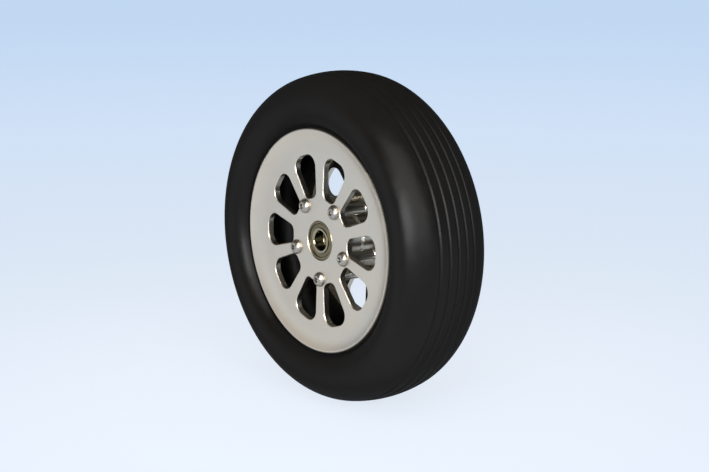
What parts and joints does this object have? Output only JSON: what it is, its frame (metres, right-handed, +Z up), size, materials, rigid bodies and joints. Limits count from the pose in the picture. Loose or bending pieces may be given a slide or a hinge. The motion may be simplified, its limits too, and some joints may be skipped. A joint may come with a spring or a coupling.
{
  "type": "aircraft wheel",
  "caption": "Small aircraft landing gear wheel: a ribbed rubber tyre clamped between two windowed aluminium rim halves that turn on shielded ball bearings.",
  "frame": {"origin": "the wheel's centre, on the axle's axis at the tyre's mid-plane", "axes": "+Y along the axle, away from the side with the screw heads; +Z up; the lowest screw is on -Z"},
  "size_m": [0.1356, 0.0428, 0.1356],
  "materials": {
    "rim_alloy": "fine turned, satin",
    "tyre_rubber": "moulded, satin black",
    "screw_steel": "bright stainless",
    "bearing_steel": "ground and oiled",
    "shield_steel": "pressed, oiled",
    "cage_steel": "pressed",
    "sleeve_alloy": "turned"
  },
  "bodies": {
    "axle_set": {"spacer_sleeve": "sleeve_alloy", "front_inner_ring": "bearing_steel", "rear_inner_ring": "bearing_steel"},
    "wheel": {"front_inboard_shield": "shield_steel", "front_inboard_snap_ring": "bearing_steel", "front_outboard_shield": "shield_steel", "front_outboard_snap_ring": "bearing_steel", "front_outer_ring": "bearing_steel", "rear_inboard_shield": "shield_steel", "rear_inboard_snap_ring": "bearing_steel", "rear_outboard_shield": "shield_steel", "rear_outboard_snap_ring": "bearing_steel", "rear_outer_ring": "bearing_steel", "rim_front": "rim_alloy", "rim_rear": "rim_alloy", "screw_1": "screw_steel", "screw_2": "screw_steel", "screw_3": "screw_steel", "screw_4": "screw_steel", "screw_5": "screw_steel", "tyre": "tyre_rubber"},
    "front_ball_set": {"front_ball_1": "bearing_steel", "front_ball_2": "bearing_steel", "front_ball_3": "bearing_steel", "front_ball_4": "bearing_steel", "front_ball_5": "bearing_steel", "front_ball_6": "bearing_steel", "front_ball_7": "bearing_steel", "front_ball_8": "bearing_steel", "front_ball_9": "bearing_steel", "front_cage": "cage_steel"},
    "rear_ball_set": {"rear_ball_1": "bearing_steel", "rear_ball_2": "bearing_steel", "rear_ball_3": "bearing_steel", "rear_ball_4": "bearing_steel", "rear_ball_5": "bearing_steel", "rear_ball_6": "bearing_steel", "rear_ball_7": "bearing_steel", "rear_ball_8": "bearing_steel", "rear_ball_9": "bearing_steel", "rear_cage": "cage_steel"}
  },
  "joints": [
    {"name": "wheel_spin", "type": "hinge", "parent": "axle_set", "child": "wheel", "pos_m": [0, 0, 0], "axis": [0, 1, 0], "continuous": true},
    {"name": "front_ball_orbit", "type": "hinge", "parent": "axle_set", "child": "front_ball_set", "pos_m": [0, -0.0118, 0], "axis": [0, 1, 0], "continuous": true},
    {"name": "rear_ball_orbit", "type": "hinge", "parent": "axle_set", "child": "rear_ball_set", "pos_m": [0, 0.0118, 0], "axis": [0, 1, 0], "continuous": true}
  ],
  "couplings": [
    {"joint": "front_ball_orbit", "follows": "wheel_spin", "ratio": 0.58333},
    {"joint": "rear_ball_orbit", "follows": "wheel_spin", "ratio": 0.58333}
  ]
}
